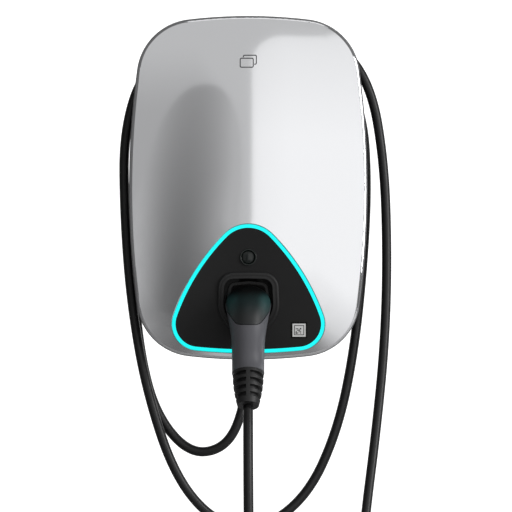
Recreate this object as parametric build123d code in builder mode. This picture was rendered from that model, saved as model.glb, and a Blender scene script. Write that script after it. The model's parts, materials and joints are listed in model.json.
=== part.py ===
from build123d import *

import os
from math import cos, pi, radians, sin, tan

# Wall-mounted charging unit for electric cars, with a tethered Type 2 connector.
# The origin is on the wall, at the centre of the wall bracket: +X right, +Z up, and the
# unit stands out from the wall towards -Y. Depths below are distances from the wall.

os.makedirs("parts", exist_ok=True)

# --- wall bracket ---------------------------------------------------------------------------------
bracket_width = 170
bracket_height = 250
bracket_sheet = 2.5
bracket_corner = 12
bracket_hole_radius = 4.25
bracket_hole_spacing_x = 130
bracket_hole_spacing_z = 200
bracket_tab_width = 40
bracket_tab_height = 26
bracket_tab_z = 78            # centres of the two folded tabs, above and below the origin
standoff = 12                 # depth of the rear housing's back wall

# --- front cover ----------------------------------------------------------------------------------
cover_width = 300
cover_height = 434
cover_side_bow = 18.2         # how far the long sides stand out past the corner points
cover_top_bow = 13.2
cover_corner_radius = 73
cover_wall = 3
cover_edge_radius = 5
cover_rear = 60
cover_front = 128             # crown of the dome
dome_radius = 1000
opening_gap = 0.2             # round the light ring
opening_chamfer = 1.1

# --- rear housing, a narrow body that the cable is wound over, and the wide plate in front of it --
body_side_margin = 43         # from the cover's edge to the body
body_top_margin = 40
body_bottom_margin = 39
body_top_radius = 92
body_bottom_radius = 40
body_wall = 3
plate_thickness = 3
plate_gap = 0.3               # between the plate's edge and the cover
plate_recess = 1              # the cover's rear edge stands this far behind the plate
bracket_screw_tip_gap = 1     # in front of the bracket's sheet

# --- inner frame and its seal ---------------------------------------------------------------------
seal_thickness = 2
seal_width = 5
seal_inset = 3                # from the body's outline outwards
frame_thickness = 3
frame_gap = 1.5               # between the inner frame's edge and the cover
frame_slot_width = 50
frame_slot_height = 10
frame_slot_margin = 26        # below the body's top, for the upper slot
frame_slot_rise = 50          # above the panel's apex, for the lower slot

# --- cover screws ---------------------------------------------------------------------------------
cover_screw_margin_x = 38
cover_screw_margin_z = 45
cover_screw_radius = 2
cover_screw_length = 16
screw_clearance = 0.2
screw_head_radius = 3.8
screw_head_height = 2.4
screw_socket_radius = 1.6
boss_radius = 6
boss_gap = 1

# --- triangular panel with its light ring ---------------------------------------------------------
panel_margin = 17.4           # from the cover's bottom to the two lower corner points
panel_height = 166.9          # between the corner points, before rounding
panel_corner_x = 104.8
panel_side_bow = 18
panel_bottom_bow = 8.4
panel_apex_radius = 42
panel_corner_radius = 33
ring_width = 4.1
ring_drop = 0.6               # below the cover's surface
ring_setback = 32             # from the cover's crown to the ring's back
panel_gap = 0.1
panel_drop = 1.2
panel_wall = 3
panel_skirt = 2.5
ring_board_thickness = 1.6
ring_board_gap = 0.5
led_height = 1.2
led_size = 3
led_count = 24
carrier_wall = 3
carrier_plate = 3
carrier_ledge = 14

# --- push button ----------------------------------------------------------------------------------
button_rise_on_panel = 112  # above the panel's lower corner points
button_radius = 8.4
button_gap = 0.35
button_bezel_width = 1.8
button_bezel_depth = 5
button_bezel_rise = 1.5
button_rise = 0.9
button_dome = 20              # radius of the cap's domed face
button_body = 8
button_stem_radius = 3
button_stem_length = 2
button_switch_gap = 1.5
switch_size = 12
switch_height = 3.8
switch_plunger_radius = 3.4

# --- connector's nose -----------------------------------------------------------------------------
nose_radius = 27.5
nose_corner_radius = 9
nose_corner_x = 16
nose_corner_z = 17
nose_wall = 3.5
nose_length = 27.5
contact_recess = 4
sleeve_recess = 3
power_contact_radius = 4.5
signal_contact_radius = 3
contact_wall = 1.45

# --- holster for the connector --------------------------------------------------------------------
holster_rise_on_panel = 54.1  # above the panel's lower corner points
mouth_clearance = 3.9         # of the funnel-shaped mouth round the nose
mouth_corner_clearance = 3
mouth_corner_shift_x = 2.5
mouth_corner_shift_z = 2
holster_wall = 3
bezel_width = 7.7
bezel_rise = 2
bezel_groove = 1.6
bezel_floor_rise = 1
bezel_setback = 24            # from the cover's crown, as the next one
bore_setback = 27             # where the mouth narrows to the bore for the nose
bore_gap = 0.8
bore_end_gap = 2
lock_slot_width = 23
lock_slot_height = 9
lock_slot_depth = 16
lock_slot_overlap = 1

# --- printed parts --------------------------------------------------------------------------------
label_size = 20.4
label_corner = 1
label_x = 64
label_rise_on_panel = 20.1
label_thickness = 0.25
card_width = 17.6
card_height = 12.6
card_radius = 2.2
card_line = 1.2
card_margin = 60.1            # from the cover's top
card_shift_x = 3.9
card_shift_z = 3.8
card_thickness = 0.15

# --- electronics ----------------------------------------------------------------------------------
board_width = 176
board_top_margin = 44         # from the body's top to the main board, and at its bottom
board_bottom_margin = 61
board_corner = 4
board_thickness = 1.6
board_depth = 22              # back face of the main board
board_post_radius = 4
board_post_margin_x = 10
board_post_margin_z = 13
relay_size = (24, 30, 26)     # width, height, depth
relay_pitch = (28, 36)
relay_x = 28
relay_rise = 79               # above the board's bottom edge
relay_corner = 1.5
supply_size = (54, 88, 24)
supply_x = -48
supply_drop = 71              # below the board's top edge
module_size = (58, 46, 6)
module_x = 36
module_drop = 39
chip_size = (16, 12, 1.5)
chip_pitch = (28, 20)
terminal_size = (76, 26, 24)
terminal_x = -26
terminal_rise = 19
terminal_count = 5
terminal_bore_radius = 3.2
terminal_bore_depth = 8
case_corner = 2
sensor_radius = 18
sensor_bore = 9
sensor_length = 16
sensor_rise = 36              # above the body's bottom
sensor_shift = 6              # in front of the gland's axis
sensor_edge = 1.5
reader_width = 84
reader_height = 58
reader_corner = 3
reader_setback = 22
reader_margin = 67            # from the cover's top
reader_post_x = 35
reader_post_z = 22
reader_post_radius = 3
coil_margin = 5
coil_width = 2
coil_height = 0.2
reader_chip_size = 9
reader_chip_height = 1.2

# --- cable and glands -----------------------------------------------------------------------------
cable_diameter = 12.4
gland_y = -34
gland_thread_radius = 12
gland_hex = 32                # across corners
gland_hex_height = 6
gland_stem_reach = 7          # above the floor, inside
gland_nut_radius = 14.5
gland_nut_length = 20
gland_nut_edge = 3
gland_grip_count = 18
gland_grip_radius = 0.9
lock_nut_height = 5
hex_chamfer = 0.6
relief_length = 34
relief_top_radius = 11
relief_end_radius = 7.8
relief_gap = 0.2
relief_groove_count = 5
relief_groove_pitch = 6
relief_groove_width = 2
relief_core = 6.8             # radius left at the lowest groove
supply_gland_x = -46
gland_bore_radius = 8

# --- connector ------------------------------------------------------------------------------------
head_setback = 26.5           # from the cover's crown to the head's back face
elbow_setback = 18.8
head_clearance = 1            # the head's half width over the nose's
head_flatness = 6             # the head's half height under its half width
elbow_radius = 32
handle_tilt = 29              # from the vertical, outwards
handle_end = 98.5             # along the handle from the corner of the two axes
boot_length = 44.1
shell_wall = 3
cap_seam = 0.7
cap_half_width = 31
cap_shoulder = 3              # below the plug's axis, where the cap starts to narrow
cap_half_base = 14.5
cap_drop = 25.5               # below the plug's axis, the cap's lower edge
cap_corner_radius = 11
cap_inset = 0.6
grip_half_width = 20.1
grip_half_depth = 19.4
clamp_length = 10
clamp_place = 22              # before the handle's end
clamp_gap = 4
boot_start_radius = 19.3
boot_mid_radius = 17.6
boot_end_radius = 13.4
boot_shoulder = 12            # before the boot's end
boot_overlap = 8
boot_fit = 2
boot_slots = 4
boot_slot_pitch = 9.3
boot_slot_first = 6.7         # from the handle's end
boot_slot_width = 5.4
boot_slot_core = 14.8         # radius left in the first slot
boot_slot_taper = 0.9
boot_spine = 5
cord_gap = 0.3                # between the fixed cable and the stretch that the connector carries

# Route of the cable's centreline, from the strain relief to the connector: a short loop to the
# left, two turns over the body behind the cover, and two hanging loops.
cable_route = [
    (0, -34, -238), (-7, -34, -290), (-31, -31, -334), (-76, -26, -341), (-119, -22, -291),
    (-140, -21, -212), (-149, -21, -110), (-149, -21, -5), (-143, -21, 85), (-108, -21, 163),
    (-38, -21, 192), (38, -21, 192), (110, -21, 171), (147, -21, 100), (153, -21, 10),
    (148, -21, -95), (136, -22, -210), (115, -23, -310), (77, -26, -394), (18, -31, -438),
    (-43, -35, -429), (-94, -39, -370), (-130, -41, -262), (-150, -41, -150), (-159, -41, -35),
    (-160, -41, 78), (-131, -41, 160), (-42, -41, 203), (42, -41, 205), (113, -41, 190),
    (157, -41, 134), (174, -41, 35), (178, -42, -80), (175, -44, -195), (163, -54, -312),
    (147, -76, -428), (138, -90, -535), (101, -124, -603), (46, -178, -612), (8, -216, -550),
    (1, -225, -458),
]
tail_run = 60                 # along the boot's axis, before the cable bends downwards
split_z = -358                # where the connector's stretch meets the rest

# --- places that follow from the values above -----------------------------------------------------
body_width = cover_width - 2 * body_side_margin
body_top = cover_height / 2 - body_top_margin
body_bottom = body_bottom_margin - cover_height / 2
plate_back = cover_rear + plate_recess
plate_front = plate_back + plate_thickness
frame_back = plate_front + seal_thickness
frame_front = frame_back + frame_thickness
cover_screw_x = cover_width / 2 - cover_screw_margin_x
cover_screw_z = cover_height / 2 - cover_screw_margin_z
screw_points = [(x, z) for x in (cover_screw_x, -cover_screw_x) for z in (cover_screw_z, -cover_screw_z)]
panel_corner_z = panel_margin - cover_height / 2
panel_apex_z = panel_corner_z + panel_height
button_z = panel_corner_z + button_rise_on_panel
holster_z = panel_corner_z + holster_rise_on_panel
label_z = panel_corner_z + label_rise_on_panel
ring_back = cover_front - ring_setback
led_back = ring_back - led_height
ring_board_back = led_back - ring_board_thickness
bezel_back = cover_front - bezel_setback
bore_front = cover_front - bore_setback
head_start = cover_front - head_setback
elbow_start = cover_front - elbow_setback
nose_tip = head_start - nose_length
cup_back = nose_tip - bore_end_gap - holster_wall
card_z = cover_height / 2 - card_margin
reader_depth = cover_front - reader_setback
reader_z = cover_height / 2 - reader_margin
board_top = body_top - board_top_margin
board_bottom = body_bottom + board_bottom_margin
board_z = (board_top + board_bottom) / 2
board_height = board_top - board_bottom
board_front = board_depth + board_thickness
board_post_x = board_width / 2 - board_post_margin_x
board_post_z = board_height / 2 - board_post_margin_z
boot_end = handle_end + boot_length


# --- shared outlines, drawn as seen from the front, and shared solids -----------------------------
def casing_outline(inset):
    """The cover's outline, drawn in by inset."""
    x = cover_width / 2 - cover_side_bow
    z = cover_height / 2 - cover_top_bow
    with BuildSketch() as outline:
        with BuildLine():
            ThreePointArc((x, -z), (cover_width / 2, 0), (x, z))
            ThreePointArc((x, z), (0, cover_height / 2), (-x, z))
            ThreePointArc((-x, z), (-cover_width / 2, 0), (-x, -z))
            ThreePointArc((-x, -z), (0, -cover_height / 2), (x, -z))
        make_face()
        if inset:
            offset(amount=-inset, kind=Kind.INTERSECTION)
        fillet(outline.vertices(), cover_corner_radius - inset)
    return outline.sketch


def body_outline(outset):
    """The narrow body's outline: wide round shoulders at the top, smaller ones below."""
    with BuildSketch() as outline:
        with Locations((0, (body_top + body_bottom) / 2)):
            Rectangle(body_width, body_top - body_bottom)
        if outset:
            offset(amount=outset, kind=Kind.INTERSECTION)
        fillet(outline.vertices().group_by(Axis.Y)[-1], body_top_radius + outset)
        fillet(outline.vertices().group_by(Axis.Y)[0], body_bottom_radius + outset)
    return outline.sketch


def panel_outline(inset):
    """The rounded triangle of the panel, drawn in by inset."""
    apex = (0, panel_apex_z)
    right = (panel_corner_x, panel_corner_z)
    left = (-panel_corner_x, panel_corner_z)
    with BuildSketch() as outline:
        with BuildLine():
            SagittaArc(apex, left, -panel_side_bow)
            SagittaArc(left, right, -panel_bottom_bow)
            SagittaArc(right, apex, -panel_side_bow)
        make_face()
        if inset:
            offset(amount=-inset, kind=Kind.INTERSECTION)
        fillet(outline.vertices().group_by(Axis.Y)[-1], panel_apex_radius - inset)
        fillet(outline.vertices().group_by(Axis.Y)[0], panel_corner_radius - inset)
    return outline.sketch


def plug_outline(radius, corner_radius, corner_x, corner_z, outset=0):
    """A Type 2 shape about the holster's axis: a circle with two squarer corners at the top."""
    with BuildSketch() as outline:
        with Locations((0, holster_z)):
            Circle(radius)
            with Locations((corner_x, corner_z), (-corner_x, corner_z)):
                Circle(corner_radius)
        make_hull(outline.edges())
        if outset:
            offset(amount=outset)
    return outline.sketch


def mouth_outline(outset=0):
    return plug_outline(nose_radius + mouth_clearance, nose_corner_radius + mouth_corner_clearance,
                        nose_corner_x + mouth_corner_shift_x, nose_corner_z + mouth_corner_shift_z, outset)


def nose_outline(outset=0):
    return plug_outline(nose_radius, nose_corner_radius, nose_corner_x, nose_corner_z, outset)


def domed_block(outline, back, drop):
    """A prism on an outline from the depth back out to the dome, lowered by drop."""
    with BuildPart() as block:
        with BuildSketch(Plane.XZ.offset(back)):
            add(outline)
        extrude(amount=cover_front + 10 - back)
        with Locations((0, dome_radius - cover_front, 0)):
            Sphere(dome_radius - drop, mode=Mode.INTERSECT)
    return block.part


def depth_at(z, drop=0):
    """Depth of the dome's surface on the centreline, at height z and lowered by drop."""
    radius = dome_radius - drop
    return cover_front - dome_radius + (radius**2 - z**2) ** 0.5


def hex_prism(x, y, z, height, across, bore):
    """A hexagonal nut or collar on a vertical axis, from z upwards."""
    with BuildPart() as prism:
        with BuildSketch(Plane.XY.offset(z)):
            with Locations((x, y)):
                RegularPolygon(across / 2, 6)
                Circle(bore, mode=Mode.SUBTRACT)
        extrude(amount=height)
        chamfer(prism.edges().filter_by(GeomType.LINE).filter_by(Axis.Z, reverse=True), hex_chamfer)
    return prism.part


def save(builder, name):
    builder.part.label = name
    export_step(builder.part, f"parts/{name}.step")


# === wall bracket =================================================================================
with BuildPart() as wall_bracket:
    with BuildSketch(Plane.XZ):
        RectangleRounded(bracket_width, bracket_height, bracket_corner)
        with GridLocations(bracket_hole_spacing_x, bracket_hole_spacing_z, 2, 2):
            Circle(bracket_hole_radius, mode=Mode.SUBTRACT)
    extrude(amount=bracket_sheet)
    for tab_z in (bracket_tab_z, -bracket_tab_z):
        with BuildSketch(Plane.XZ.offset(standoff - bracket_sheet)):
            with Locations((0, tab_z)):
                Rectangle(bracket_tab_width, bracket_tab_height)
                Circle(cover_screw_radius, mode=Mode.SUBTRACT)
        extrude(amount=bracket_sheet)
        with BuildSketch(Plane.XZ):
            with Locations((0, tab_z - (bracket_tab_height - bracket_sheet) / 2)):
                Rectangle(bracket_tab_width, bracket_sheet)
        extrude(amount=standoff)
save(wall_bracket, "wall_bracket")

# === rear housing =================================================================================
with BuildPart() as rear_housing:
    with BuildSketch(Plane.XZ.offset(standoff)):
        add(body_outline(0))
    extrude(amount=plate_back - standoff)
    with BuildSketch(Plane.XZ.offset(standoff + body_wall)):
        add(body_outline(-body_wall))
    extrude(amount=plate_back, mode=Mode.SUBTRACT)
    with BuildSketch(Plane.XZ.offset(standoff)):
        with Locations((0, bracket_tab_z), (0, -bracket_tab_z)):
            Circle(cover_screw_radius + screw_clearance)
    extrude(amount=body_wall, mode=Mode.SUBTRACT)
    with BuildSketch(Plane.XZ.offset(standoff + body_wall)):
        with Locations((0, board_z)):
            with GridLocations(2 * board_post_x, 2 * board_post_z, 2, 2):
                Circle(board_post_radius)
    extrude(amount=board_depth - standoff - body_wall)
    with BuildSketch(Plane.XY.offset(body_bottom - 1)):
        with Locations((0, gland_y), (supply_gland_x, gland_y)):
            Circle(gland_thread_radius)
    extrude(amount=body_wall + 2, mode=Mode.SUBTRACT)
save(rear_housing, "rear_housing")

with BuildPart() as back_plate:
    with BuildSketch(Plane.XZ.offset(plate_back)):
        add(casing_outline(cover_wall + plate_gap))
        add(body_outline(-body_wall), mode=Mode.SUBTRACT)
        with Locations(*screw_points):
            Circle(cover_screw_radius + screw_clearance, mode=Mode.SUBTRACT)
    extrude(amount=plate_thickness)
save(back_plate, "back_plate")

with BuildPart() as bracket_screws:
    for tab_z in (bracket_tab_z, -bracket_tab_z):
        with BuildSketch(Plane.XZ.offset(standoff + body_wall)):
            with Locations((0, tab_z)):
                Circle(screw_head_radius)
        extrude(amount=screw_head_height)
        with BuildSketch(Plane.XZ.offset(bracket_sheet + bracket_screw_tip_gap)):
            with Locations((0, tab_z)):
                Circle(cover_screw_radius)
        extrude(amount=standoff + body_wall - bracket_sheet - bracket_screw_tip_gap)
save(bracket_screws, "bracket_screws")

# === seal and inner frame =========================================================================
with BuildPart() as housing_seal:
    with BuildSketch(Plane.XZ.offset(plate_front)):
        add(body_outline(seal_inset + seal_width))
        add(body_outline(seal_inset), mode=Mode.SUBTRACT)
    extrude(amount=seal_thickness)
save(housing_seal, "housing_seal")

with BuildPart() as inner_frame:
    with BuildSketch(Plane.XZ.offset(frame_back)):
        add(casing_outline(cover_wall + frame_gap))
        with Locations(*screw_points):
            Circle(boss_radius + boss_gap, mode=Mode.SUBTRACT)
    extrude(amount=frame_thickness)
    with BuildSketch(Plane.XZ.offset(frame_back)):
        with Locations((0, body_top - frame_slot_margin), (0, panel_apex_z + frame_slot_rise)):
            SlotOverall(frame_slot_width, frame_slot_height)
    extrude(amount=frame_thickness, mode=Mode.SUBTRACT)
save(inner_frame, "inner_frame")

# === front cover ==================================================================================
cover_outer = domed_block(casing_outline(0), cover_rear, 0)
cover_inner = domed_block(casing_outline(cover_wall), cover_rear, cover_wall)
with BuildSketch() as boss_circles:
    with Locations(*screw_points):
        Circle(boss_radius)
cover_bosses = domed_block(boss_circles.sketch, plate_front, cover_wall / 2)
with BuildPart() as front_cover:
    add(cover_outer)
    fillet(front_cover.faces().filter_by(GeomType.SPHERE).edges(), cover_edge_radius)
    add(cover_inner, mode=Mode.SUBTRACT)
    add(cover_bosses)
    with BuildSketch(Plane.XZ.offset(plate_front)):
        with Locations(*screw_points):
            Circle(cover_screw_radius)
    extrude(amount=cover_screw_length, mode=Mode.SUBTRACT)
    with BuildSketch(Plane.XZ.offset(cover_rear)):
        add(panel_outline(-opening_gap))
    extrude(amount=cover_front, mode=Mode.SUBTRACT)
    outer_dome = front_cover.faces().filter_by(GeomType.SPHERE).sort_by(Axis.Y)[0]
    chamfer(outer_dome.inner_wires()[0].edges(), opening_chamfer)
save(front_cover, "front_cover")

with BuildPart() as cover_screws:
    with BuildSketch(Plane.XZ.offset(plate_back - screw_head_height)):
        with Locations(*screw_points):
            Circle(screw_head_radius)
            RegularPolygon(screw_socket_radius, 6, mode=Mode.SUBTRACT)
    extrude(amount=screw_head_height)
    with BuildSketch(Plane.XZ.offset(plate_back)):
        with Locations(*screw_points):
            Circle(cover_screw_radius)
    extrude(amount=cover_screw_length - 1)
save(cover_screws, "cover_screws")

# === card symbol printed on the cover =============================================================
with BuildSketch() as cards:
    with Locations((card_shift_x / 2, card_z + card_shift_z)):
        RectangleRounded(card_width, card_height, card_radius)
        RectangleRounded(card_width - 2 * card_line, card_height - 2 * card_line,
                         card_radius - card_line, mode=Mode.SUBTRACT)
    with Locations((-card_shift_x / 2, card_z)):
        RectangleRounded(card_width + card_line, card_height + card_line,
                         card_radius, mode=Mode.SUBTRACT)
        RectangleRounded(card_width, card_height, card_radius)
        RectangleRounded(card_width - 2 * card_line, card_height - 2 * card_line,
                         card_radius - card_line, mode=Mode.SUBTRACT)
cards_outer = domed_block(cards.sketch, ring_back, -card_thickness)
cards_inner = domed_block(cards.sketch, ring_back - 1, 0)
with BuildPart() as card_symbol:
    add(cards_outer)
    add(cards_inner, mode=Mode.SUBTRACT)
save(card_symbol, "card_symbol")

# === card reader behind the symbol ================================================================
with BuildPart() as reader_posts:
    with BuildSketch(Plane.XZ.offset(frame_front)):
        with Locations((0, reader_z)):
            with GridLocations(2 * reader_post_x, 2 * reader_post_z, 2, 2):
                Circle(reader_post_radius)
    extrude(amount=reader_depth - frame_front)
save(reader_posts, "reader_posts")

with BuildPart() as reader_board:
    with BuildSketch(Plane.XZ.offset(reader_depth)):
        with Locations((0, reader_z)):
            RectangleRounded(reader_width, reader_height, reader_corner)
    extrude(amount=board_thickness)
    with BuildSketch(Plane.XZ.offset(reader_depth + board_thickness)):
        with Locations((0, reader_z)):
            RectangleRounded(reader_width - 2 * coil_margin, reader_height - 2 * coil_margin,
                             reader_corner)
            RectangleRounded(reader_width - 2 * coil_margin - 2 * coil_width,
                             reader_height - 2 * coil_margin - 2 * coil_width,
                             reader_corner - coil_width, mode=Mode.SUBTRACT)
    extrude(amount=coil_height)
    with BuildSketch(Plane.XZ.offset(reader_depth + board_thickness)):
        with Locations((0, reader_z)):
            Rectangle(reader_chip_size, reader_chip_size)
    extrude(amount=reader_chip_height)
save(reader_board, "reader_board")

# === light ring, its board and lamps, and the carrier behind them =================================
ring_block = domed_block(panel_outline(0), ring_back, ring_drop)
with BuildPart() as light_ring:
    add(ring_block)
    with BuildSketch(Plane.XZ.offset(ring_back - 1)):
        add(panel_outline(ring_width))
    extrude(amount=cover_front, mode=Mode.SUBTRACT)
save(light_ring, "light_ring")

with BuildPart() as ring_board:
    with BuildSketch(Plane.XZ.offset(ring_board_back)):
        add(panel_outline(ring_board_gap))
        add(mouth_outline(holster_wall + ring_board_gap), mode=Mode.SUBTRACT)
    extrude(amount=ring_board_thickness)
save(ring_board, "ring_board")

led_line = panel_outline(ring_width / 2).face().outer_wire()
with BuildPart() as ring_leds:
    with BuildSketch(Plane.XZ.offset(led_back)):
        for step in range(led_count):
            place = led_line.position_at(step / led_count)
            with Locations((place.X, place.Y)):
                Rectangle(led_size, led_size)
    extrude(amount=led_height)
save(ring_leds, "ring_leds")

with BuildPart() as panel_carrier:
    with BuildSketch(Plane.XZ.offset(frame_front)):
        add(panel_outline(-carrier_wall))
        add(panel_outline(0), mode=Mode.SUBTRACT)
    extrude(amount=ring_board_back - frame_front)
    with BuildSketch(Plane.XZ.offset(ring_board_back - carrier_plate)):
        add(panel_outline(-carrier_wall))
        add(panel_outline(carrier_ledge), mode=Mode.SUBTRACT)
    extrude(amount=carrier_plate)
save(panel_carrier, "panel_carrier")

# === black front panel ============================================================================
panel_outer = domed_block(panel_outline(ring_width + panel_gap), ring_back, panel_drop)
panel_inner = domed_block(panel_outline(ring_width + panel_gap + panel_skirt), ring_back - 1,
                          panel_drop + panel_wall)
button_hole_radius = button_radius + button_gap + button_bezel_width
with BuildPart() as front_panel:
    add(panel_outer)
    add(panel_inner, mode=Mode.SUBTRACT)
    with BuildSketch(Plane.XZ.offset(ring_back - 1)):
        add(mouth_outline(bezel_width))
        with Locations((0, button_z)):
            Circle(button_hole_radius)
    extrude(amount=cover_front, mode=Mode.SUBTRACT)
save(front_panel, "front_panel")

# === push button with its bezel and switch ========================================================
button_face = depth_at(button_z, panel_drop)
button_back = button_face - button_body
with BuildPart() as button_bezel:
    with BuildSketch(Plane.XZ.offset(button_face - button_bezel_depth)):
        with Locations((0, button_z)):
            Circle(button_hole_radius)
            Circle(button_radius + button_gap, mode=Mode.SUBTRACT)
    extrude(amount=button_bezel_depth + button_bezel_rise)
    fillet(button_bezel.faces().sort_by(Axis.Y)[0].edges(), button_bezel_width / 3)
save(button_bezel, "button_bezel")

plunger_top = button_back - button_stem_length
with BuildPart() as push_button:
    with BuildSketch(Plane.XZ.offset(button_back)):
        with Locations((0, button_z)):
            Circle(button_radius)
    extrude(amount=button_body + button_rise)
    with Locations((0, button_dome - button_face - button_rise, button_z)):
        Sphere(button_dome, mode=Mode.INTERSECT)
    with BuildSketch(Plane.XZ.offset(plunger_top + button_switch_gap)):
        with Locations((0, button_z)):
            Circle(button_stem_radius)
    extrude(amount=button_stem_length + 1 - button_switch_gap)
save(push_button, "push_button")

switch_top = led_back + switch_height
with BuildPart() as button_switch:
    with BuildSketch(Plane.XZ.offset(led_back)):
        with Locations((0, button_z)):
            Rectangle(switch_size, switch_size)
    extrude(amount=switch_height)
    with BuildSketch(Plane.XZ.offset(switch_top)):
        with Locations((0, button_z)):
            Circle(switch_plunger_radius)
    extrude(amount=plunger_top - switch_top)
save(button_switch, "button_switch")

# === holster ======================================================================================
with BuildPart() as holster_cup:
    with BuildSketch(Plane.XZ.offset(cup_back)):
        add(mouth_outline(holster_wall))
    extrude(amount=bezel_back - cup_back)
    with BuildSketch(Plane.XZ.offset(cup_back + holster_wall)):
        add(nose_outline(bore_gap))
    extrude(amount=bezel_back, mode=Mode.SUBTRACT)
    with BuildSketch(Plane.XZ.offset(bore_front)):
        add(mouth_outline())
    extrude(amount=bezel_back, mode=Mode.SUBTRACT)
    with BuildSketch(Plane.XZ.offset(bore_front - lock_slot_depth)):
        with Locations((0, holster_z + nose_radius + bore_gap - lock_slot_overlap)):
            Rectangle(lock_slot_width, lock_slot_height)
    extrude(amount=lock_slot_depth, mode=Mode.SUBTRACT)
save(holster_cup, "holster_cup")

bezel_block = domed_block(mouth_outline(bezel_width), bezel_back, -bezel_rise)
with BuildPart() as holster_bezel:
    add(bezel_block)
    fillet(holster_bezel.faces().filter_by(GeomType.SPHERE).edges(), bezel_rise)
    with BuildSketch(Plane.XZ.offset(bezel_back)):
        add(mouth_outline())
    extrude(amount=cover_front, mode=Mode.SUBTRACT)
    with BuildSketch(Plane.XZ.offset(bezel_back)):
        add(mouth_outline(bezel_width / 2 + bezel_groove / 2))
        add(mouth_outline(bezel_width / 2 - bezel_groove / 2), mode=Mode.SUBTRACT)
    groove_tool = extrude(amount=cover_front, mode=Mode.PRIVATE)
bezel_floor = domed_block(mouth_outline(bezel_width + 1), bezel_back - 1, bezel_floor_rise - bezel_rise)
holster_bezel.part = holster_bezel.part - (groove_tool - bezel_floor)
save(holster_bezel, "holster_bezel")

# === label ========================================================================================
with BuildSketch() as label_shape:
    with Locations((label_x, label_z)):
        RectangleRounded(label_size, label_size, label_corner)
label_outer = domed_block(label_shape.sketch, ring_back, panel_drop - label_thickness)
label_inner = domed_block(label_shape.sketch, ring_back - 1, panel_drop)
with BuildPart() as data_label:
    add(label_outer)
    add(label_inner, mode=Mode.SUBTRACT)
save(data_label, "data_label")

# === electronics in the rear housing ==============================================================
with BuildPart() as main_board:
    with BuildSketch(Plane.XZ.offset(board_depth)):
        with Locations((0, board_z)):
            RectangleRounded(board_width, board_height, board_corner)
    extrude(amount=board_thickness)
save(main_board, "main_board")

with BuildPart() as board_screws:
    with BuildSketch(Plane.XZ.offset(board_front)):
        with Locations((0, board_z)):
            with GridLocations(2 * board_post_x, 2 * board_post_z, 2, 2):
                Circle(board_post_radius - screw_clearance)
    extrude(amount=screw_head_height)
save(board_screws, "board_screws")

with BuildPart() as power_relays:
    with BuildSketch(Plane.XZ.offset(board_front)):
        with Locations((relay_x, board_bottom + relay_rise)):
            with GridLocations(*relay_pitch, 3, 2):
                Rectangle(relay_size[0], relay_size[1])
    extrude(amount=relay_size[2])
    fillet(power_relays.edges().filter_by(Axis.Y), relay_corner)
save(power_relays, "power_relays")

with BuildPart() as power_supply:
    with BuildSketch(Plane.XZ.offset(board_front)):
        with Locations((supply_x, board_top - supply_drop)):
            RectangleRounded(supply_size[0], supply_size[1], case_corner)
    extrude(amount=supply_size[2])
save(power_supply, "power_supply")

with BuildPart() as control_module:
    with BuildSketch(Plane.XZ.offset(board_front)):
        with Locations((module_x, board_top - module_drop)):
            RectangleRounded(module_size[0], module_size[1], case_corner)
    extrude(amount=module_size[2])
    with BuildSketch(Plane.XZ.offset(board_front + module_size[2])):
        with Locations((module_x, board_top - module_drop)):
            with GridLocations(*chip_pitch, 2, 2):
                Rectangle(chip_size[0], chip_size[1])
    extrude(amount=chip_size[2])
save(control_module, "control_module")

terminal_place = (terminal_x, board_bottom + terminal_rise)
with BuildPart() as terminal_block:
    with BuildSketch(Plane.XZ.offset(board_front)):
        with Locations(terminal_place):
            Rectangle(terminal_size[0], terminal_size[1])
    extrude(amount=terminal_size[2])
    with BuildSketch(Plane.XZ.offset(board_front + terminal_size[2] - terminal_bore_depth)):
        with Locations(terminal_place):
            with GridLocations(terminal_size[0] / terminal_count, 1, terminal_count, 1):
                Circle(terminal_bore_radius)
    extrude(amount=terminal_bore_depth, mode=Mode.SUBTRACT)
save(terminal_block, "terminal_block")

with BuildPart() as current_sensor:
    with BuildSketch(Plane.XY.offset(body_bottom + sensor_rise)):
        with Locations((0, gland_y - sensor_shift)):
            Circle(sensor_radius)
            Circle(sensor_bore, mode=Mode.SUBTRACT)
    extrude(amount=sensor_length)
    fillet(current_sensor.edges().filter_by(GeomType.CIRCLE), sensor_edge)
save(current_sensor, "current_sensor")

# === glands =======================================================================================
gland_collar_z = body_bottom - gland_hex_height
relief_top = gland_collar_z - gland_nut_length


def gland_body(x):
    """Threaded stem through the housing's floor with a hexagonal collar below it."""
    with BuildPart() as stem:
        with BuildSketch(Plane.XY.offset(body_bottom)):
            with Locations((x, gland_y)):
                Circle(gland_thread_radius)
                Circle(gland_bore_radius, mode=Mode.SUBTRACT)
        extrude(amount=body_wall + gland_stem_reach)
        add(hex_prism(x, gland_y, gland_collar_z, gland_hex_height, gland_hex, gland_bore_radius))
    return stem


def gland_nut(x):
    """Domed clamping nut with grooves round it for the fingers."""
    with BuildPart() as nut:
        with BuildSketch(Plane.XY.offset(relief_top)):
            with Locations((x, gland_y)):
                Circle(gland_nut_radius)
        extrude(amount=gland_nut_length)
        fillet(nut.faces().sort_by(Axis.Z)[0].edges(), gland_nut_edge)
        with BuildSketch(Plane.XY.offset(relief_top)):
            with Locations((x, gland_y)):
                Circle(gland_bore_radius)
                with PolarLocations(gland_nut_radius + gland_grip_radius / 2, gland_grip_count):
                    Circle(gland_grip_radius)
        extrude(amount=gland_nut_length, mode=Mode.SUBTRACT)
    return nut


def lock_nut(x):
    """Nut that holds the gland's stem from inside the housing."""
    with BuildPart() as nut:
        add(hex_prism(x, gland_y, body_bottom + body_wall, lock_nut_height, gland_hex,
                      gland_thread_radius))
    return nut


for gland_name, gland_x in (("outlet", 0), ("supply", supply_gland_x)):
    save(gland_body(gland_x), f"{gland_name}_gland_body")
    save(gland_nut(gland_x), f"{gland_name}_gland_nut")
    save(lock_nut(gland_x), f"{gland_name}_lock_nut")

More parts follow.
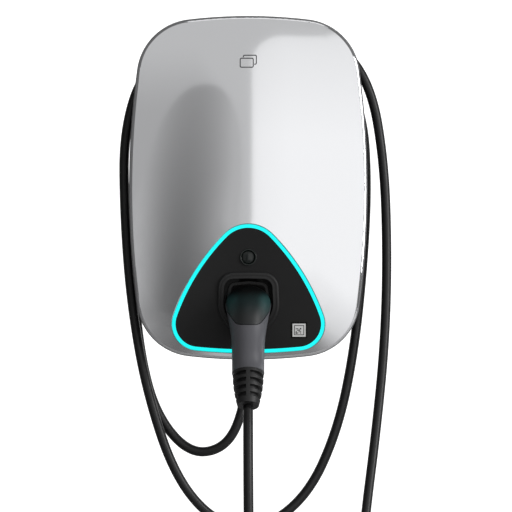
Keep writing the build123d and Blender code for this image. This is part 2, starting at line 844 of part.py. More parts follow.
with BuildPart() as strain_relief:
    with BuildSketch(Plane.XY.offset(relief_top)):
        with Locations((0, gland_y)):
            Circle(relief_top_radius)
    with BuildSketch(Plane.XY.offset(relief_top - relief_length)):
        with Locations((0, gland_y)):
            Circle(relief_end_radius)
    loft()
    with BuildSketch(Plane.XY.offset(relief_top)):
        with Locations((0, gland_y)):
            Circle(gland_bore_radius - relief_gap)
    extrude(amount=gland_nut_length)
    for ring in range(1, relief_groove_count + 1):
        core = relief_core + relief_gap * (relief_groove_count - ring)
        with BuildSketch(Plane.XY.offset(relief_top - relief_groove_pitch * ring)):
            with Locations((0, gland_y)):
                Circle(relief_top_radius + 1)
                Circle(core, mode=Mode.SUBTRACT)
        extrude(amount=relief_groove_width, mode=Mode.SUBTRACT)
save(strain_relief, "strain_relief")

# === connector ====================================================================================
with BuildPart() as nose_sleeve:
    with BuildSketch(Plane.XZ.offset(nose_tip)):
        add(nose_outline())
        add(nose_outline(-nose_wall), mode=Mode.SUBTRACT)
    extrude(amount=nose_length)
save(nose_sleeve, "nose_sleeve")

power_contacts = [(0, 0), (-15, 0), (15, 0), (-8, -14), (8, -14)]
signal_contacts = [(-8.5, 12), (8.5, 12)]
with BuildPart() as contact_carrier:
    with BuildSketch(Plane.XZ.offset(nose_tip + contact_recess)):
        add(nose_outline(-nose_wall))
        with Locations((0, holster_z)):
            with Locations(*power_contacts):
                Circle(power_contact_radius, mode=Mode.SUBTRACT)
            with Locations(*signal_contacts):
                Circle(signal_contact_radius, mode=Mode.SUBTRACT)
    extrude(amount=nose_length - contact_recess)
save(contact_carrier, "contact_carrier")

with BuildPart() as contact_sleeves:
    with BuildSketch(Plane.XZ.offset(nose_tip + contact_recess + sleeve_recess)):
        with Locations((0, holster_z)):
            with Locations(*power_contacts):
                Circle(power_contact_radius)
                Circle(power_contact_radius - contact_wall, mode=Mode.SUBTRACT)
            with Locations(*signal_contacts):
                Circle(signal_contact_radius)
                Circle(signal_contact_radius - contact_wall, mode=Mode.SUBTRACT)
    extrude(amount=nose_length - contact_recess - sleeve_recess)
save(contact_sleeves, "contact_sleeves")

# Handle frame: s runs down the handle from the corner where its axis meets the plug's axis.
tilt = radians(handle_tilt)
turn = pi / 2 - tilt
corner_depth = elbow_start + elbow_radius * tan(turn / 2)
along = Vector(0, -sin(tilt), -cos(tilt))
corner = Vector(0, -corner_depth, holster_z)
elbow_centre = Vector(0, -elbow_start, holster_z - elbow_radius)


def handle_plane(s):
    """Plane across the handle at s, facing down it, with its X to the right."""
    return Plane(origin=corner + along * s, x_dir=(1, 0, 0), z_dir=along)


def elbow_plane(angle):
    """Plane across the elbow, angle along its bend."""
    out = Vector(0, -sin(angle), cos(angle)) * elbow_radius
    return Plane(origin=elbow_centre + out, x_dir=(1, 0, 0), z_dir=(0, -cos(angle), -sin(angle)))


def grip_solid(inset, reach=0.0):
    """The connector's head, elbow and handle in one, drawn in by inset and longer by reach."""
    head_radius = nose_radius + head_clearance
    start = Plane(origin=(0, reach - head_start, holster_z), x_dir=(1, 0, 0), z_dir=(0, -1, 0))
    sections = [
        (start, head_radius - 0.1, head_radius - head_flatness - 0.1),
        (elbow_plane(0), head_radius, head_radius - head_flatness),
        (elbow_plane(turn / 2), head_radius - 0.3, head_radius - head_flatness + 0.6),
        (elbow_plane(turn), head_radius - 2.9, head_radius - 5.1),
        (handle_plane(0.394 * handle_end), grip_half_width + 2.3, grip_half_depth + 1.8),
        (handle_plane(0.611 * handle_end), grip_half_width + 0.4, grip_half_depth + 0.4),
        (handle_plane(0.808 * handle_end), grip_half_width + 0.05, grip_half_depth + 0.1),
        (handle_plane(handle_end + reach), grip_half_width, grip_half_depth),
    ]
    with BuildPart() as solid:
        for plane, half_width, half_depth in sections:
            with BuildSketch(plane):
                Ellipse(half_width - inset, half_depth - inset)
        loft()
    return solid.part


def front_half():
    """Prism that holds everything in front of the grip's middle surface."""
    end = corner + along * (handle_end + 5)
    bend = elbow_plane(turn / 2).origin
    knee = elbow_plane(turn).origin
    with BuildPart() as prism:
        with BuildSketch(Plane.YZ):
            with BuildLine():
                Polyline((-head_start + 5, holster_z), (-elbow_start, holster_z))
                ThreePointArc((-elbow_start, holster_z), (bend.Y, bend.Z), (knee.Y, knee.Z))
                Polyline((knee.Y, knee.Z), (end.Y, end.Z), (end.Y - 80, end.Z),
                         (end.Y - 80, holster_z + 60), (-head_start + 5, holster_z + 60),
                         (-head_start + 5, holster_z))
            make_face()
        extrude(amount=50, both=True)
    return prism.part


def cap_prism(outset):
    """U-shaped prism of the head's cap, as seen from the front."""
    top = holster_z + cap_half_width + 10
    with BuildPart() as prism:
        with BuildSketch(Plane.XZ.offset(head_start - 1)) as shape:
            with BuildLine():
                Polyline((-cap_half_width, top), (-cap_half_width, holster_z - cap_shoulder),
                         (-cap_half_base, holster_z - cap_drop), (cap_half_base, holster_z - cap_drop),
                         (cap_half_width, holster_z - cap_shoulder), (cap_half_width, top), close=True)
            make_face()
            fillet(shape.vertices().group_by(Axis.Y)[0], cap_corner_radius)
            if outset:
                offset(amount=outset)
        extrude(amount=70)
    return prism.part


grip_outer = grip_solid(0)
grip_inner = grip_solid(shell_wall, reach=1)
front_prism = front_half()
cap_tool = cap_prism(0)
cap_opening = cap_prism(cap_seam)
with BuildPart() as grip_front:
    add(grip_outer)
    add(front_prism, mode=Mode.INTERSECT)
    add(grip_inner, mode=Mode.SUBTRACT)
    add(cap_opening, mode=Mode.SUBTRACT)
save(grip_front, "grip_front")

with BuildPart() as grip_rear:
    add(grip_outer)
    add(front_prism, mode=Mode.SUBTRACT)
    add(grip_inner, mode=Mode.SUBTRACT)
save(grip_rear, "grip_rear")

cap_outer = grip_solid(cap_inset)
with BuildPart() as head_cap:
    add(cap_outer)
    add(front_prism, mode=Mode.INTERSECT)
    add(cap_tool, mode=Mode.INTERSECT)
    add(grip_inner, mode=Mode.SUBTRACT)
save(head_cap, "head_cap")

with BuildPart() as cable_clamp:
    with BuildSketch(handle_plane(handle_end - clamp_place)):
        Circle(grip_half_depth - shell_wall - clamp_gap)
        Circle(cable_diameter / 2, mode=Mode.SUBTRACT)
    extrude(amount=clamp_length)
save(cable_clamp, "cable_clamp")

# The boot: a ribbed rubber sleeve that tapers onto the cable.
boot_sections = [
    (handle_end, boot_start_radius),
    (handle_end + boot_slot_first + boot_slot_pitch, boot_mid_radius + 1),
    (boot_end - boot_shoulder, boot_mid_radius - 1.4),
    (boot_end, boot_end_radius),
]
with BuildPart() as cable_boot:
    for place, radius in boot_sections:
        with BuildSketch(handle_plane(place)):
            Circle(radius)
    loft()
    with BuildSketch(handle_plane(handle_end - boot_overlap)):
        Circle(grip_half_depth - shell_wall - boot_fit)
    extrude(amount=boot_overlap)
    for slot in range(boot_slots):
        with BuildSketch(handle_plane(handle_end + boot_slot_first + slot * boot_slot_pitch)):
            Circle(boot_start_radius + 3)
            Circle(boot_slot_core - boot_slot_taper * slot, mode=Mode.SUBTRACT)
            Rectangle(boot_spine, 3 * boot_start_radius, mode=Mode.SUBTRACT)
        extrude(amount=boot_slot_width / 2, both=True, mode=Mode.SUBTRACT)
save(cable_boot, "cable_boot")

# === cable ========================================================================================
boot_exit = corner + along * boot_end
tail_bend = boot_exit + along * tail_run
tail_route = [(0, tail_bend.Y, split_z), tuple(tail_bend), tuple(boot_exit)]
main_route = cable_route + [(0, tail_bend.Y, split_z - cord_gap)]


def corner_radii(route):
    """Radius of the arc at each corner: 0.45 of its shorter run over the tangent of half its turn."""
    points = [Vector(*point) for point in route]
    runs = [after - before for before, after in zip(points, points[1:])]
    return [0.45 * min(a.length, b.length) / tan(radians(a.get_angle(b)) / 2)
            for a, b in zip(runs, runs[1:])]


def cable_tube(route):
    radii = corner_radii(route)
    with BuildPart() as tube:
        with BuildLine():
            path = FilletPolyline(*route, radius=radii)
        with BuildSketch(Plane(origin=path @ 0, z_dir=path % 0)):
            Circle(cable_diameter / 2)
        sweep()
    section = pi * cable_diameter**2 / 4
    print("cable", round(path.length, 1), "mm, volume / (section x length)",
          round(tube.part.volume / (section * path.length), 5),
          "radii", [round(radius) for radius in radii])
    return tube


save(cable_tube(main_route), "charging_cable")
save(cable_tube(tail_route), "cable_tail")
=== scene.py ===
import json
import math

import bpy
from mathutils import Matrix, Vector


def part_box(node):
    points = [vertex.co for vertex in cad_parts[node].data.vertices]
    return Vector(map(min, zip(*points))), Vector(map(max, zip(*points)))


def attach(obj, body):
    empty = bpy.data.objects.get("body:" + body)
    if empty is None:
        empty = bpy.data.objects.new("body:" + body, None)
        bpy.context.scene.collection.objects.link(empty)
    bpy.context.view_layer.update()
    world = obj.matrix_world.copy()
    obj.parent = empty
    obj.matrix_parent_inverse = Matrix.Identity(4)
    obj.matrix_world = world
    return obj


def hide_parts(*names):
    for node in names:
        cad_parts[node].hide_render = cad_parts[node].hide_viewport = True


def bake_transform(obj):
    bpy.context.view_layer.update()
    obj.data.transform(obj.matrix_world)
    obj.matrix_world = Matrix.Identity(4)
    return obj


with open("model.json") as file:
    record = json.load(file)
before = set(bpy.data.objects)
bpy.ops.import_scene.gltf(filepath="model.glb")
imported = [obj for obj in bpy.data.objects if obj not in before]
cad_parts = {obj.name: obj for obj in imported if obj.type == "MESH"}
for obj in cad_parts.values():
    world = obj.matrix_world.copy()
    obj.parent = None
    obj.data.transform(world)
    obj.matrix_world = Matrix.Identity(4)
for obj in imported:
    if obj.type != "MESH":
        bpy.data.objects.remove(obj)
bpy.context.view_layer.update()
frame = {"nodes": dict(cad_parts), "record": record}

MM = 0.001

# --- the cable's facts ----------------------------------------------------------------------------
CABLE_DIAMETER = 0.0124
HANDLE_TILT = math.radians(29)
HANDLE_AXIS = Vector((0, -math.sin(HANDLE_TILT), -math.cos(HANDLE_TILT)))
BOOT_END = Vector((0, -197.2 * MM, -270.2 * MM))
TAIL_RUN = 60 * MM

# The route's points in millimetres, from the strain relief to the connector's boot.
CABLE_ROUTE = [
    (0, -34, -238), (-7, -34, -290), (-31, -31, -334), (-76, -26, -341), (-119, -22, -291),
    (-140, -21, -212), (-149, -21, -110), (-149, -21, -5), (-143, -21, 85), (-108, -21, 163),
    (-38, -21, 192), (38, -21, 192), (110, -21, 171), (147, -21, 100), (153, -21, 10),
    (148, -21, -95), (136, -22, -210), (115, -23, -310), (77, -26, -394), (18, -31, -438),
    (-43, -35, -429), (-94, -39, -370), (-130, -41, -262), (-150, -41, -150), (-159, -41, -35),
    (-160, -41, 78), (-131, -41, 160), (-42, -41, 203), (42, -41, 205), (113, -41, 190),
    (157, -41, 134), (174, -41, 35), (178, -42, -80), (175, -44, -195), (163, -54, -312),
    (147, -76, -428), (138, -90, -535), (101, -124, -603), (46, -178, -612), (8, -216, -550),
    (1, -225, -458),
]

# --- the camera -----------------------------------------------------------------------------------
CAMERA_DISTANCE = 3.75
VIEW_WIDTH = 0.648             # what the picture's width covers at the cover's edge
VIEW_CENTRE = Vector((0.0097, -0.09, -0.0861))


def add_camera():
    data = bpy.data.cameras.new("camera")
    data.sensor_width = 36
    data.lens = data.sensor_width * CAMERA_DISTANCE / VIEW_WIDTH
    data.clip_start, data.clip_end = 0.1, 30
    camera = bpy.data.objects.new("camera", data)
    camera.location = VIEW_CENTRE - Vector((0, CAMERA_DISTANCE, 0))
    camera.rotation_euler = (math.radians(90), 0, 0)
    bpy.context.collection.objects.link(camera)
    bpy.context.scene.camera = camera


# --- node helpers ---------------------------------------------------------------------------------
class Nodes:
    """Builds a node tree from arithmetic on sockets and numbers."""

    def __init__(self, tree):
        self.tree = tree

    def add(self, kind, **values):
        made = self.tree.nodes.new(kind)
        for name, value in values.items():
            self.set(made.inputs[name.replace("_", " ")], value)
        return made

    def set(self, socket, value):
        if isinstance(value, bpy.types.NodeSocket):
            self.tree.links.new(value, socket)
        else:
            socket.default_value = value

    def place(self):
        return self.add("ShaderNodeTexCoord").outputs["Object"]

    def split(self, vector):
        made = self.add("ShaderNodeSeparateXYZ", Vector=vector)
        return made.outputs["X"], made.outputs["Y"], made.outputs["Z"]

    def math(self, operation, first, second=0.0):
        made = self.add("ShaderNodeMath")
        made.operation = operation
        self.set(made.inputs[0], first)
        self.set(made.inputs[1], second)
        return made.outputs[0]

    def ramp(self, value, start, end, low=0.0, high=1.0, smooth=False):
        """Maps value from start..end to low..high, and holds it there outside."""
        made = self.add("ShaderNodeMapRange", Value=value, From_Min=start, From_Max=end,
                        To_Min=low, To_Max=high)
        if smooth:
            made.interpolation_type = "SMOOTHSTEP"
        return made.outputs["Result"]

    def colours(self, value, low, high):
        """Mixes from the colour low to the colour high as value goes from 0 to 1."""
        made = self.add("ShaderNodeMix")
        made.data_type = "RGBA"
        self.set(made.inputs["Factor"], value)
        for socket, colour in (("A_Color", low), ("B_Color", high)):
            into = next(item for item in made.inputs if item.identifier == socket)
            self.set(into, colour if isinstance(colour, bpy.types.NodeSocket) else (*colour, 1))
        return next(item for item in made.outputs if item.identifier == "Result_Color")

    def noise(self, vector, scale, detail=4.0, rough=0.55):
        return self.add("ShaderNodeTexNoise", Vector=vector, Scale=scale, Detail=detail,
                        Roughness=rough).outputs["Fac"]


# --- lights and backdrop --------------------------------------------------------------------------
CARD_PLANE = -4.0              # the reflecting cards stand behind the camera
WHITE = (1, 1, 1)


def flat_mesh(name, points, faces, material):
    mesh = bpy.data.meshes.new(name)
    mesh.from_pydata(points, [], faces)
    mesh.materials.append(material)
    made = bpy.data.objects.new(name, mesh)
    bpy.context.collection.objects.link(made)
    return made


def glow(name, strength):
    """Material that gives off white light; strength is a function of its nodes."""
    material = bpy.data.materials.new(name)
    material.use_nodes = True
    nodes = Nodes(material.node_tree)
    material.node_tree.nodes.clear()
    emission = nodes.add("ShaderNodeEmission", Color=(*WHITE, 1))
    nodes.set(emission.inputs["Strength"], strength(nodes))
    output = nodes.add("ShaderNodeOutputMaterial")
    nodes.set(output.inputs["Surface"], emission.outputs[0])
    return material


def light_card(name, outline, depth, strength):
    """A glowing card that faces the object, with an outline of (x, z) points."""
    points = [(x, depth, z) for x, z in outline]
    card = flat_mesh(name, points, [tuple(range(len(points)))], glow(name, strength))
    card.visible_camera = False
    return card


def corner_arc(x, z, radius, start, end):
    steps = 10
    turns = [math.radians(start + (end - start) * step / steps) for step in range(steps + 1)]
    return [(x + radius * math.cos(turn), z + radius * math.sin(turn)) for turn in turns]


def right_strength(nodes):
    """Even softbox, a little dimmer towards its top and its inner edge."""
    x, _, z = nodes.split(nodes.place())
    top = nodes.ramp(z, 0.7, 2.2, 1.0, 0.86)
    inner = nodes.ramp(x, 0.0, 0.5, 0.94, 1.0)
    low = nodes.math("ADD", z, nodes.ramp(x, 0.85, 1.3, 0.0, 0.4))
    foot = nodes.math("MULTIPLY", nodes.ramp(low, CARD_FOOT, -0.9, 0.18, 1.0),
                      nodes.ramp(low, -2.0, -1.55, 0.42, 1.0))
    return nodes.math("MULTIPLY", nodes.math("MULTIPLY", top, nodes.math("MULTIPLY", inner, foot)),
                      RIGHT_LEVEL)


def left_strength(nodes):
    """Dim wall of light: brighter at the top and beside the softbox."""
    x, _, z = nodes.split(nodes.place())
    top = nodes.ramp(z, 1.0, 2.1, 0.40, 0.53, smooth=True)
    side = nodes.ramp(x, -0.75, -0.1, 0.0, 0.12, smooth=True)
    foot = nodes.ramp(z, -2.05, -1.75, 0.4, 1.0)
    even = nodes.math("MINIMUM", nodes.math("ADD", top, side), LEFT_MOST)
    return nodes.math("MULTIPLY", nodes.math("MULTIPLY", even, foot), LEFT_LEVEL)


def arch_strength(nodes):
    """Darker arch: dark along its middle and towards its foot."""
    x, _, z = nodes.split(nodes.place())
    middle = nodes.math("ADD", -0.80, nodes.math("MULTIPLY", z, ARCH_LEAN * 0.6))
    across = nodes.math("DIVIDE", nodes.math("SUBTRACT", x, middle), 0.74)
    steepness = nodes.ramp(z, -1.4, 0.3, 0.70, 0.37)
    bowl = nodes.math("MULTIPLY", nodes.math("MULTIPLY", across, across), steepness)
    foot = nodes.math("ADD", nodes.ramp(z, -1.4, 1.5, 0.090, 0.295),
                      nodes.ramp(z, -1.85, -1.5, 0.05, 0.0))
    even = nodes.math("MINIMUM", nodes.math("ADD", bowl, foot), ARCH_MOST)
    return nodes.math("MULTIPLY", even, LEFT_LEVEL)


RIGHT_LEVEL = 1.3
LEFT_LEVEL = 1.3
LEFT_MOST, ARCH_MOST = 0.53, 0.45   # brightest share of LEFT_LEVEL on each card
CARD_FOOT = -2.7
CARD_TOP = 3.2
SOFTBOX_LEFT, SOFTBOX_RIGHT, SOFTBOX_TOP = 0.035, 2.4, 2.12
SOFTBOX_CORNERS = (0.5, 0.42)  # radius of its outer and inner top corner
WALL_HALF = 3.0
ARCH_PLACE = (-0.80, -0.43)    # centre of the arch's round head
ARCH_SIZE = (0.65, 1.84)
ARCH_LEAN = 0.13
ARCH_POWER = 2.3


def arch_outline():
    """Arch with a superellipse for its head, leaning to the right as it rises."""
    points = []
    for step in range(41):
        turn = math.pi * step / 40
        across = math.copysign(abs(math.cos(turn)) ** (2 / ARCH_POWER), math.cos(turn))
        up = abs(math.sin(turn)) ** (2 / ARCH_POWER) * ARCH_SIZE[1]
        points.append((ARCH_PLACE[0] + across * ARCH_SIZE[0] + up * ARCH_LEAN, ARCH_PLACE[1] + up))
    foot = [(ARCH_PLACE[0] - ARCH_SIZE[0], CARD_FOOT), (ARCH_PLACE[0] + ARCH_SIZE[0], CARD_FOOT)]
    return points + foot


def add_cards():
    softbox = [(SOFTBOX_LEFT, CARD_FOOT), (SOFTBOX_RIGHT, CARD_FOOT)]
    outer, inner = SOFTBOX_CORNERS
    softbox += corner_arc(SOFTBOX_RIGHT - outer, SOFTBOX_TOP - outer, outer, 0, 90)
    softbox += corner_arc(SOFTBOX_LEFT + inner, SOFTBOX_TOP - inner, inner, 90, 180)
    light_card("softbox", softbox, CARD_PLANE, right_strength)
    wall = [(-WALL_HALF, CARD_FOOT), (WALL_HALF, CARD_FOOT),
            (WALL_HALF, CARD_TOP), (-WALL_HALF, CARD_TOP)]
    light_card("wall_of_light", wall, CARD_PLANE - 0.05, left_strength)
    light_card("dark_arch", arch_outline(), CARD_PLANE + 0.02, arch_strength)


def add_area(name, place, target, size, power):
    data = bpy.data.lights.new(name, "AREA")
    data.shape = "RECTANGLE"
    data.size, data.size_y = size
    data.energy = power
    data.color = WHITE
    light = bpy.data.objects.new(name, data)
    light.location = place
    light.rotation_euler = (Vector(target) - Vector(place)).to_track_quat("-Z", "Y").to_euler()
    bpy.context.collection.objects.link(light)


def sheet_white():
    """Matt white sheet, lit up behind the object and fading outwards; clear from behind."""
    material = bpy.data.materials.new("sheet_white")
    material.use_nodes = True
    nodes = Nodes(material.node_tree)
    shader = material.node_tree.nodes["Principled BSDF"]
    shader.inputs["Base Color"].default_value = (0.5, 0.5, 0.5, 1)
    shader.inputs["Roughness"].default_value = 1
    shader.inputs["Emission Color"].default_value = (1, 1, 1, 1)
    distance = nodes.add("ShaderNodeVectorMath", Vector=nodes.place())
    distance.operation = "LENGTH"
    lit = nodes.ramp(distance.outputs["Value"], 1.12, 1.34, 1.0, 0.0, smooth=True)
    nodes.set(shader.inputs["Emission Strength"], lit)
    one_sided = nodes.add("ShaderNodeMixShader")
    nodes.set(one_sided.inputs[0], nodes.add("ShaderNodeNewGeometry").outputs["Backfacing"])
    nodes.set(one_sided.inputs[1], shader.outputs[0])
    nodes.set(one_sided.inputs[2], nodes.add("ShaderNodeBsdfTransparent").outputs[0])
    nodes.set(material.node_tree.nodes["Material Output"].inputs["Surface"], one_sided.outputs[0])
    return material


def add_stage():
    """Plain pale backdrop and floor in one swept sheet."""
    back, floor, half, bend = 0.9, -1.3, 6.0, 0.5
    profile = [(back, 5.0), (back, floor + bend)]
    profile += [(back - bend * (1 - math.cos(turn)), floor + bend * (1 - math.sin(turn)))
                for turn in [math.radians(step) for step in range(10, 100, 10)]]
    profile += [(-2.2, floor)]
    points = [(x, y, z) for y, z in profile for x in (-half, half)]
    faces = [(2 * i, 2 * i + 2, 2 * i + 3, 2 * i + 1) for i in range(len(profile) - 1)]
    flat_mesh("sheet", points, faces, sheet_white())


add_camera()
add_stage()
add_cards()
add_area("key_right", (2.5, -1.65, 0.4), (0.1, -0.1, -0.2), (1.4, 2.4), 70)
add_area("top", (0.2, -1.6, 2.2), (0, -0.1, 0), (1.6, 0.8), 4)
world = bpy.data.worlds.new("world")
world.use_nodes = True
world.node_tree.nodes["Background"].inputs["Color"].default_value = (1, 1, 1, 1)
world.node_tree.nodes["Background"].inputs["Strength"].default_value = 0.16
bpy.context.scene.world = world
bpy.context.scene.view_settings.view_transform = "Standard"


# --- materials ------------------------------------------------------------------------------------
GRAIN = 1400                   # scale of the moulded grain
BROAD = 9                      # scale of the broad colour variation
COLOUR_SPREAD = 0.08
NOISE_RANGE = (0.3, 0.7)       # where most of a noise's values lie


class Finish(Nodes):
    """A material built step by step on a Principled shader."""

    def __init__(self, name, colour, roughness, **sockets):
        self.material = bpy.data.materials.new(name)
        self.material.use_nodes = True
        super().__init__(self.material.node_tree)
        self.shader = self.tree.nodes["Principled BSDF"]
        self.shader.inputs["Base Color"].default_value = (*colour, 1)
        self.shader.inputs["Roughness"].default_value = roughness
        for socket, value in sockets.items():
            self.shader.inputs[socket.replace("_", " ")].default_value = value
        self.where = self.place()
        self.height = None

    def into(self, socket, value):
        self.set(self.shader.inputs[socket], value)

    def bump(self, value, depth, strength=0.5):
        made = self.add("ShaderNodeBump", Height=value, Distance=depth, Strength=strength)
        if self.height is not None:
            self.set(made.inputs["Normal"], self.height)
        self.height = made.outputs["Normal"]
        self.into("Normal", self.height)


def moulded_plastic(name, colour, roughness, grain=GRAIN, depth=0.00006, **sockets):
    """Moulded plastic: fine spark-eroded grain, faint colour and gloss variation."""
    finish = Finish(name, colour, roughness, **sockets)
    broad = finish.noise(finish.where, BROAD, 3)
    darker = tuple(level * (1 - COLOUR_SPREAD) for level in colour)
    lighter = tuple(min(1, level * (1 + COLOUR_SPREAD)) for level in colour)
    finish.into("Base Color", finish.colours(broad, darker, lighter))
    finish.into("Roughness", finish.ramp(broad, *NOISE_RANGE, roughness - 0.04, roughness + 0.04))
    finish.bump(finish.noise(finish.where, grain, 2), depth)
    return finish.material


def silver_lacquer():
    """Metallic silver paint under a clear coat. The darker turned-in edge stands in for shadow."""
    finish = Finish("cover_silver", (0.68, 0.685, 0.7), 0.07, Metallic=0.94,
                    Coat_Weight=1.0, Coat_Roughness=0.015)
    normal = finish.add("ShaderNodeNewGeometry").outputs["Normal"]
    _, facing, _ = finish.split(normal)
    edge = finish.ramp(finish.math("ABSOLUTE", facing), 0.5, 0.8, 1.0, 0.0, smooth=True)
    flake = finish.noise(finish.where, 3800, 1)
    paint = finish.colours(flake, (0.655, 0.66, 0.675), (0.70, 0.705, 0.72))
    finish.into("Base Color", finish.colours(edge, paint, (0.10, 0.10, 0.105)))
    finish.into("Metallic", finish.ramp(edge, 0, 1, 0.94, 0.1))
    finish.into("Roughness", finish.ramp(edge, 0, 1, 0.07, 0.6))
    finish.into("Coat Weight", finish.ramp(edge, 0, 1, 1.0, 0.0))
    finish.bump(finish.noise(finish.where, 55, 2), 0.00002, 0.25)
    return finish.material


def cable_rubber():
    """Satin cable sheath with a fine extruded skin."""
    finish = Finish("cable_black", (0.009, 0.009, 0.0095), 0.38, Specular_IOR_Level=0.32)
    finish.into("Roughness", finish.ramp(finish.noise(finish.where, 40, 3), *NOISE_RANGE, 0.34, 0.42))
    finish.bump(finish.noise(finish.where, 900, 2), 0.00005)
    return finish.material


def light_guide():
    """Clear plastic lit from behind, faintly uneven between its lamps."""
    finish = Finish("light_cyan", (0.0, 0.12, 0.13), 0.4, Emission_Color=(0.011, 0.99, 0.955, 1),
                    Specular_IOR_Level=0.2)
    uneven = finish.noise(finish.where, 160, 2)
    finish.into("Emission Strength", finish.ramp(uneven, *NOISE_RANGE, 0.93, 0.99))
    return finish.material


def cap_plastic():
    """Cap of the connector's head. Its black top and lighter sides stand in for shadow and light."""
    finish = Finish("cap_grey", (0.02, 0.024, 0.026), 0.45, Specular_IOR_Level=0.35)
    across, _, height = finish.split(finish.where)
    low = finish.ramp(height, -0.140, -0.166, smooth=True)
    high = finish.ramp(height, -0.142, -0.129, smooth=True)
    side = finish.ramp(finish.math("ABSOLUTE", across), 0.009, 0.022, smooth=True)
    # The teal tint over the cap's upper part, strongest on its sides, is a painted reflection of the
    # cyan light ring; lower down the cap turns to its own dark grey.
    centre = finish.colours(low, (0.004, 0.013, 0.0135), (0.015, 0.0165, 0.017))
    flank = finish.colours(low, (0.016, 0.050, 0.050), (0.036, 0.040, 0.041))
    finish.into("Base Color", finish.colours(high, finish.colours(side, centre, flank),
                                             (0.0012, 0.0016, 0.0016)))
    finish.bump(finish.noise(finish.where, GRAIN, 2), 0.00005)
    return finish.material


def panel_plastic():
    """Matt black panel. Its lighter left side makes up for this stage's light; real plastic is even."""
    finish = Finish("panel_black", (0.0125, 0.0125, 0.0127), 0.62, Specular_IOR_Level=0.12)
    across, _, _ = finish.split(finish.where)
    left = finish.ramp(across, 0.02, -0.09, smooth=True)
    broad = finish.colours(finish.noise(finish.where, BROAD, 3), (0.0115, 0.0115, 0.0117),
                           (0.0135, 0.0135, 0.0137))
    finish.into("Base Color", finish.colours(left, broad, (0.0190, 0.0190, 0.0192)))
    finish.bump(finish.noise(finish.where, GRAIN, 2), 0.00006)
    return finish.material


def bezel_plastic():
    """Smoother than the panel. Its lighter top and right stand in for light; real plastic is even."""
    finish = Finish("bezel_black", (0.015, 0.015, 0.0152), 0.45, Specular_IOR_Level=0.22)
    across, _, height = finish.split(finish.where)
    rise = finish.math("ADD", height, finish.math("MULTIPLY", across, 0.35))
    lit = finish.ramp(rise, -0.160, -0.115, smooth=True)
    finish.into("Base Color", finish.colours(lit, (0.0085, 0.0085, 0.0087), (0.0195, 0.0195, 0.0198)))
    finish.bump(finish.noise(finish.where, GRAIN, 2), 0.00004)
    return finish.material


def metal(name, colour, roughness):
    """Bare or painted metal with fine scratches in its gloss."""
    finish = Finish(name, colour, roughness, Metallic=1.0)
    finish.into("Roughness", finish.ramp(finish.noise(finish.where, 260, 4), *NOISE_RANGE,
                                         roughness - 0.08, roughness + 0.1))
    finish.bump(finish.noise(finish.where, 700, 2), 0.00003)
    return finish.material


MATERIALS = {
    "cover_silver": silver_lacquer(),
    "housing_black": moulded_plastic("housing_black", (0.018, 0.018, 0.019), 0.5),
    "panel_black": panel_plastic(),
    "button_black": moulded_plastic("button_black", (0.004, 0.0065, 0.0058), 0.12, depth=0.00001,
                                    Specular_IOR_Level=0.35),
    "grip_grey": moulded_plastic("grip_grey", (0.088, 0.088, 0.098), 0.45, Specular_IOR_Level=0.35),
    "cap_grey": cap_plastic(),
    "cable_black": cable_rubber(),
    "rubber_black": moulded_plastic("rubber_black", (0.014, 0.014, 0.0145), 0.5, grain=900,
                                    Specular_IOR_Level=0.35),
    "light_cyan": light_guide(),
    "bracket_steel": metal("bracket_steel", (0.45, 0.46, 0.47), 0.4),
    "screw_steel": metal("screw_steel", (0.55, 0.55, 0.55), 0.3),
    "frame_grey": moulded_plastic("frame_grey", (0.12, 0.122, 0.125), 0.55),
    "circuit_green": moulded_plastic("circuit_green", (0.01, 0.1, 0.04), 0.35),
    "component_black": moulded_plastic("component_black", (0.002, 0.002, 0.002), 0.6,
                                       Specular_IOR_Level=0.1),
    "terminal_grey": moulded_plastic("terminal_grey", (0.3, 0.31, 0.31), 0.5),
    "lamp_white": moulded_plastic("lamp_white", (0.8, 0.8, 0.75), 0.3),
    "label_white": moulded_plastic("label_white", (0.56, 0.56, 0.555), 0.5),
    "ink_grey": moulded_plastic("ink_grey", (0.022, 0.022, 0.024), 0.5, Specular_IOR_Level=0.3),
    "contact_metal": metal("contact_metal", (0.7, 0.66, 0.58), 0.25),
    "sensor_blue": moulded_plastic("sensor_blue", (0.02, 0.03, 0.09), 0.35),
}

for part in frame["record"]["subparts"]:
    mesh = frame["nodes"][part["node"]].data
    mesh.materials.clear()
    mesh.materials.append(MATERIALS[part["material_slot"]])

frame["nodes"]["holster_bezel"].data.materials[0] = bezel_plastic()


# --- print on the square label --------------------------------------------------------------------
PANEL_CENTRE = 0.872            # Y of the centre of the panel's domed face
LABEL_RADIUS = 0.99905         # radius of the label's own face
LABEL_BORDER = 1.9 * MM
PRINT_HEIGHT = 0.12 * MM
PRINT_ROOT = -0.02 * MM        # the print's underside, just inside the label
MARK_MARGIN = 2.0 * MM
MARK_LINE = 0.9 * MM
MARK_CELLS = 7                 # across the frame of the marks
BIG_MARK, SMALL_MARK = 0.5, 0.34   # half a mark's side, in cells


def on_dome(x, z, height):
    radius = LABEL_RADIUS + height
    return Vector((x, PANEL_CENTRE - math.sqrt(radius**2 - x**2 - z**2), z))


def bar(left, bottom, right, top):
    """Outline of an upright rectangle as four corners."""
    return [(left, bottom), (right, bottom), (right, top), (left, top)]


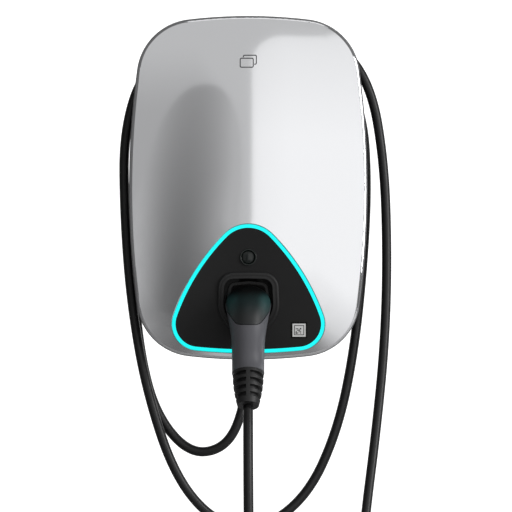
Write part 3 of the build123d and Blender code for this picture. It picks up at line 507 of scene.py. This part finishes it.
def print_on_label(name, shapes, height, slot):
    """Raised flat shapes that follow the label's face."""
    points, faces = [], []
    for shape in shapes:
        first, count = len(points), len(shape)
        points += [on_dome(x, z, PRINT_ROOT) for x, z in shape]
        points += [on_dome(x, z, height) for x, z in shape]
        faces.append(tuple(range(first, first + count)))
        faces.append(tuple(reversed(range(first + count, first + 2 * count))))
        for i in range(count):
            a, b = first + i, first + (i + 1) % count
            faces.append((b, a, a + count, b + count))
    mesh = bpy.data.meshes.new(name)
    mesh.from_pydata(points, [], faces)
    mesh.materials.append(MATERIALS[slot])
    piece = bpy.data.objects.new(name, mesh)
    bpy.context.collection.objects.link(piece)
    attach(piece, "housing")


def add_label_print():
    low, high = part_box("data_label")
    left, right, bottom, top = low[0], high[0], low[2], high[2]
    edge = LABEL_BORDER
    border = [bar(left, bottom, right, bottom + edge), bar(left, top - edge, right, top),
              bar(left, bottom + edge, left + edge, top - edge),
              bar(right - edge, bottom + edge, right, top - edge)]
    print_on_label("label_border", border, PRINT_HEIGHT, "component_black")
    inset, line = edge + MARK_MARGIN, MARK_LINE
    left, right, bottom, top = left + inset, right - inset, bottom + inset, top - inset
    marks = [bar(left, bottom, right, bottom + line), bar(left, top - line, right, top),
             bar(left, bottom + line, left + line, top - line),
             bar(right - line, bottom + line, right, top - line)]
    pitch = (right - left) / MARK_CELLS
    for column in range(2, MARK_CELLS - 1):
        for row in range(2, MARK_CELLS - 1):
            if (column + row) % 3:
                x, z = left + (column - 0.5) * pitch, bottom + (row - 0.5) * pitch
                half = (BIG_MARK if column == row else SMALL_MARK) * pitch
                marks.append(bar(x - half, z - half, x + half, z + half))
    print_on_label("label_marks", marks, PRINT_HEIGHT, "ink_grey")


add_label_print()


# --- the cable ------------------------------------------------------------------------------------
def smooth_line(points):
    """Points along the smooth curve that has the given route as its control points."""
    curve = bpy.data.curves.new("route", "CURVE")
    curve.dimensions = "3D"
    curve.resolution_u = 16
    spline = curve.splines.new("NURBS")
    spline.points.add(len(points) - 1)
    for point, place in zip(spline.points, points):
        point.co = (*place, 1)
    spline.order_u = 3
    spline.use_endpoint_u = True
    holder = bpy.data.objects.new("route", curve)
    mesh = bpy.data.meshes.new_from_object(holder)
    line = [vertex.co.copy() for vertex in mesh.vertices]
    bpy.data.objects.remove(holder)
    bpy.data.meshes.remove(mesh)
    return line


def tube(name, line, radius, sides=24):
    """Round tube along a line, its rings kept from twisting."""
    vertices, faces = [], []
    across = Vector((1, 0, 0))
    for i, place in enumerate(line):
        ahead = line[min(i + 1, len(line) - 1)] - line[max(i - 1, 0)]
        ahead.normalize()
        across = (across - ahead * across.dot(ahead)).normalized()
        up = ahead.cross(across)
        for step in range(sides):
            angle = 2 * math.pi * step / sides
            vertices.append(place + (across * math.cos(angle) + up * math.sin(angle)) * radius)
    for i in range(len(line) - 1):
        for step in range(sides):
            a, b = i * sides + step, i * sides + (step + 1) % sides
            faces.append((a, b, b + sides, a + sides))
    faces.append(tuple(reversed(range(sides))))
    faces.append(tuple(range(len(vertices) - sides, len(vertices))))
    mesh = bpy.data.meshes.new(name)
    mesh.from_pydata(vertices, [], faces)
    mesh.shade_smooth()
    piece = bpy.data.objects.new(name, mesh)
    bpy.context.collection.objects.link(piece)
    return piece


tail_bend = BOOT_END + HANDLE_AXIS * TAIL_RUN
cable_line = smooth_line([Vector(p) * MM for p in CABLE_ROUTE] + [tail_bend, BOOT_END])
cable = tube("charging_cable_tube", cable_line, CABLE_DIAMETER / 2)
cable.data.materials.append(MATERIALS["cable_black"])
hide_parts("charging_cable", "cable_tail")
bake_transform(cable)
